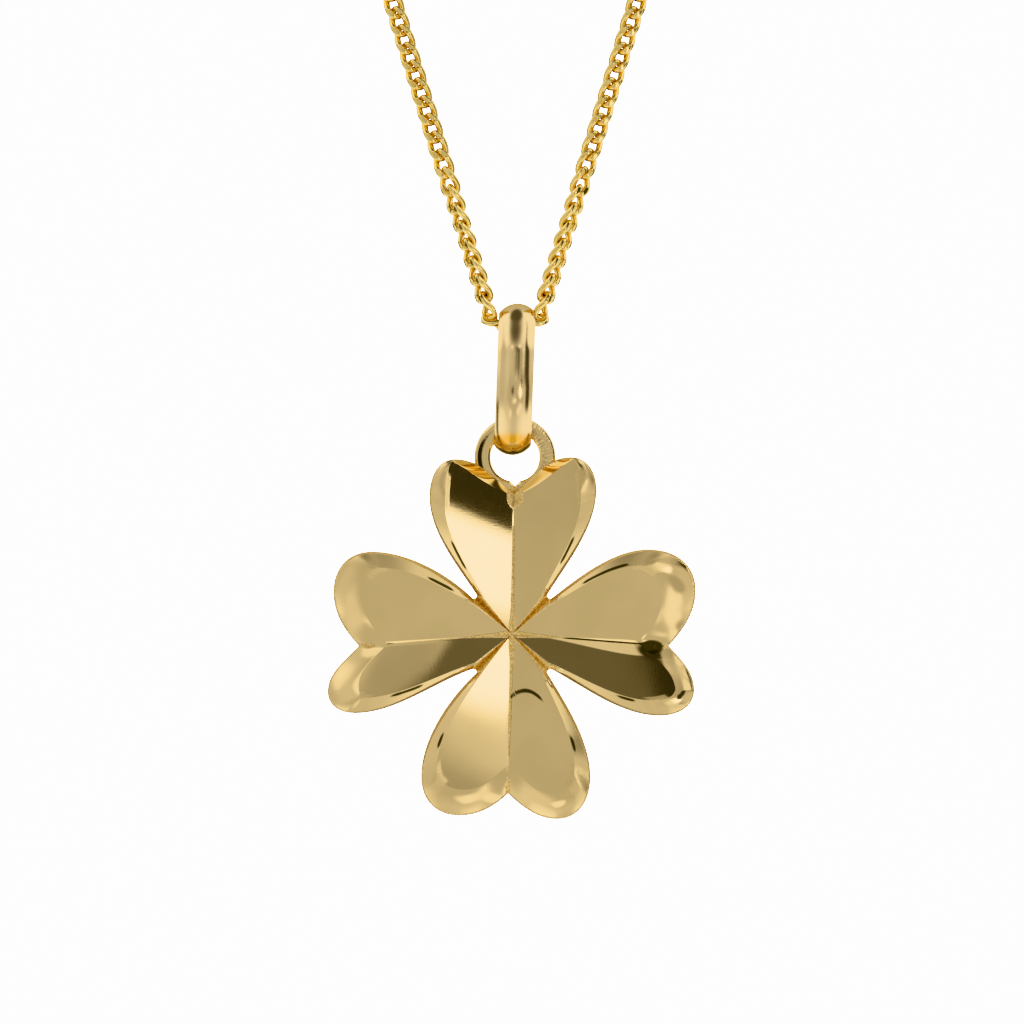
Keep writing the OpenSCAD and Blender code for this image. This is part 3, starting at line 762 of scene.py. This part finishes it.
# Cards of the studio, in the order in which one covers another: the slopes across and up that a front
# facing mirror needs to show the card's middle, its half width and half height in slopes, the softness of
# its edge, and its brightness. The notes say what shows it most
CARDS = [
    (0.0, -0.85, 0.22, 0.45, 0.4, 0.74),  # the bail's foot
    (-0.30, -0.28, 0.09, 0.09, 0.5, 0.9),  # the top leaf's bevels
    (0.30, -0.28, 0.09, 0.09, 0.5, 1.05),
    (-0.68, 0.20, 0.20, 0.35, 0.4, 0.68),  # the bail's left side
    (0.0, -0.21, 0.20, 0.06, 0.5, 0.665),  # the facets above the side leaves' folds
    (-0.27, 0.22, 0.13, 0.17, 0.4, 0.78),  # the lower leaf's left bevel
    (-0.05, 0.29, 0.05, 0.04, 0.5, 0.52),  # the left leaf's lower facet
    (-0.21, 0.10, 0.06, 0.09, 0.4, 0.58),  # the top leaf's right facet
    (0.48, 0.20, 0.26, 0.13, 0.4, 0.42),  # the rounded caps and the lower leaf's right bevel
    (0.37, 0.24, 0.08, 0.09, 0.3, 1.1),
    (-0.16, -0.33, 0.065, 0.05, 0.4, 1.3),  # the side leaves' bevels
    (0.19, -0.31, 0.065, 0.05, 0.4, 1.3),
    (-0.17, 0.33, 0.065, 0.05, 0.4, 1.3),
    (0.17, 0.33, 0.065, 0.05, 0.4, 1.3),
    (0.30, -0.24, 0.065, 0.05, 0.4, 1.3),  # the top leaf's right bevel
    (0.13, -0.12, 0.06, 0.05, 0.5, 0.50),  # the lower leaf's left facet, from its cap inwards
    (0.20, -0.045, 0.035, 0.05, 0.5, 0.86),
    (0.272, -0.02, 0.070, 0.095, 0.3, 1.0),  # the bright parts of both left facets
    (0.272, -0.02, 0.055, 0.075, 0.25, 4.5),
    (0.34, -0.16, 0.08, 0.05, 0.4, 0.56),  # the rounded caps
    (0.015, -0.15, 0.10, 0.032, 0.3, 1.4),  # the strips above and below the side leaves' folds
    (0.06, 0.135, 0.06, 0.03, 0.3, 0.85),
]
# The dark cards that the bail shows at its top and in its middle
BAIL_CARDS = [
    (-0.05, 0.86, 0.36, 0.46, 0.3, 0.12),
    (-0.08, 0.0, 0.06, 0.045, 0.2, 0.02),
]
FLOOR_R = 0.9
FLOOR_Z = -0.215
FRONT_POINT = -0.00015, -0.0921, -0.1484551
VIEW_WIDTH = 0.0512
VIEW_DISTANCE = 0.6
SENSOR = 36


def studio_world():
    """White studio with soft panels and dark cards, set by the slope that a front facing mirror needs to
    show them: slope_x and slope_z are direction / (1.02 + the part towards the camera). The camera itself
    sees plain white."""
    world = bpy.data.worlds.new("studio")
    world.use_nodes = True
    tree = world.node_tree
    tree.nodes.clear()
    direction = add_node(tree, "ShaderNodeTexCoord").outputs["Generated"]
    parts = add_node(tree, "ShaderNodeSeparateXYZ", {}, {0: direction})
    x, y, z = (Value(tree, parts.outputs[k]) for k in range(3))
    toward = 1.02 - y
    slope_x, slope_z = x / toward, z / toward
    off_axis = (slope_x * slope_x + slope_z * slope_z).math("SQRT")

    def hang(level, cards):
        """Each card lies over the level: 1 inside its ellipse of slopes, 0 outside, with a soft edge."""
        for at_x, at_z, wide, high, soft, bright in cards:
            a, b = (slope_x - at_x) / wide, (slope_z - at_z) / high
            card = 1 - (a * a + b * b).math("SQRT").step(1 - soft, 1 + soft)
            level = card.blend(level, bright)
        return level

    # The room: grey behind the camera, bright panels at the sides, a dark ring and a pale floor and ceiling
    level = off_axis.step(0.26, 0.42).blend(0.64, 0.76)
    level = (off_axis.step(0.36, 0.75) * (1 - slope_z.window(-0.40, -0.12, 0.12, 0.40))).blend(level, 1.45)
    level = off_axis.window(1.5, 1.9, 3.2, 4.0).blend(level, 0.05)
    level = off_axis.step(3.2, 4.0).blend(level, 0.60)
    level = slope_z.step(0.95, 1.3).blend(level, 0.70)
    level = hang(level, CARDS)
    # The dark facet below the right leaf's fold, with a darker band near its cap, and below the left leaf's
    arc = slope_x + (slope_z - 0.26).math("MAXIMUM", 0.0) * 0.66
    facet = (arc.step(-0.020, -0.012) * (1 - slope_x.step(0.11, 0.12))
             * slope_z.window(0.155, 0.175, 0.305, 0.33))
    level = facet.blend(level, 0.20)
    band = slope_x.window(0.108, 0.118, 0.175, 0.185) * slope_z.window(0.12, 0.16, 0.25, 0.29)
    level = band.blend(level, 0.05)
    # The dark upper part of the top leaf's left facet
    corner = (slope_x.window(0.250, 0.274, 0.314, 0.338) * (slope_z + slope_x * 0.3).step(0.080, 0.104)
              * (1 - slope_z.step(0.116, 0.135)))
    level = corner.blend(level, 0.05)
    # The dark strip down the bail's right side, kept off the lower leaf's bevel, and the one behind its left
    strip = (slope_x + slope_z.math("MAXIMUM", 0.0) * 0.62).window(0.52, 0.60, 0.80, 0.86)
    beside = 1 - slope_z.step(0.10, 0.16) * (1 - slope_x.step(0.42, 0.47))
    level = (strip * slope_z.window(-0.45, -0.25, 0.85, 1.05) * beside).blend(level, 0.06)
    left = slope_x.window(-1.25, -1.15, -0.97, -0.87) * slope_z.window(-0.88, -0.72, -0.20, -0.04)
    level = left.blend(level, 0.12)
    level = hang(level, BAIL_CARDS)

    camera_ray = Value(tree, add_node(tree, "ShaderNodeLightPath").outputs["Is Camera Ray"])
    seen = camera_ray.blend(level, 5.0)
    back = add_node(tree, "ShaderNodeBackground", {}, {"Color": (1, 1, 1, 1), "Strength": seen})
    add_node(tree, "ShaderNodeOutputWorld", {}, {"Surface": back.outputs[0]})
    bpy.context.scene.world = world


def studio_floor():
    """Plain round paper floor, hidden from reflections."""
    material = bpy.data.materials.new("floor_paper")
    material.use_nodes = True
    shader = material.node_tree.nodes["Principled BSDF"]
    shader.inputs["Base Color"].default_value = (0.9, 0.9, 0.89, 1)
    shader.inputs["Roughness"].default_value = 0.8
    a = np.linspace(0, 2 * math.pi, 64, endpoint=False)
    rim = np.stack([FLOOR_R * np.cos(a), FLOOR_R * np.sin(a) - 0.05, 0 * a + FLOOR_Z], 1)
    mesh = bpy.data.meshes.new("floor")
    mesh.from_pydata(rim, [], [list(range(64))])
    mesh.materials.append(material)
    floor = bpy.data.objects.new("floor", mesh)
    bpy.context.scene.collection.objects.link(floor)
    floor.visible_glossy = False


def photo_camera():
    """Camera straight in front of the pendant, as in the photograph, with its view's width at the pendant."""
    lens = bpy.data.cameras.new("camera")
    lens.sensor_width = SENSOR
    lens.lens = SENSOR * VIEW_DISTANCE / VIEW_WIDTH
    lens.clip_start = 0.01
    lens.clip_end = 20
    camera = bpy.data.objects.new("camera", lens)
    x, y, z = FRONT_POINT
    camera.location = (x, y - VIEW_DISTANCE, z)
    camera.rotation_euler = (math.pi / 2, 0, 0)
    bpy.context.scene.collection.objects.link(camera)
    bpy.context.scene.camera = camera
    bpy.context.scene.view_settings.view_transform = "Khronos PBR Neutral"


studio_world()
studio_floor()
photo_camera()
build_clover(clover_gold())
build_bail(bail_gold())
links = chain_gold()
strand(links, "chain_links_right", "chain_right", 1)
strand(links, "chain_links_left", "chain_left", -1)
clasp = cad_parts["clasp"]
clasp.data.materials.clear()
clasp.data.materials.append(links)
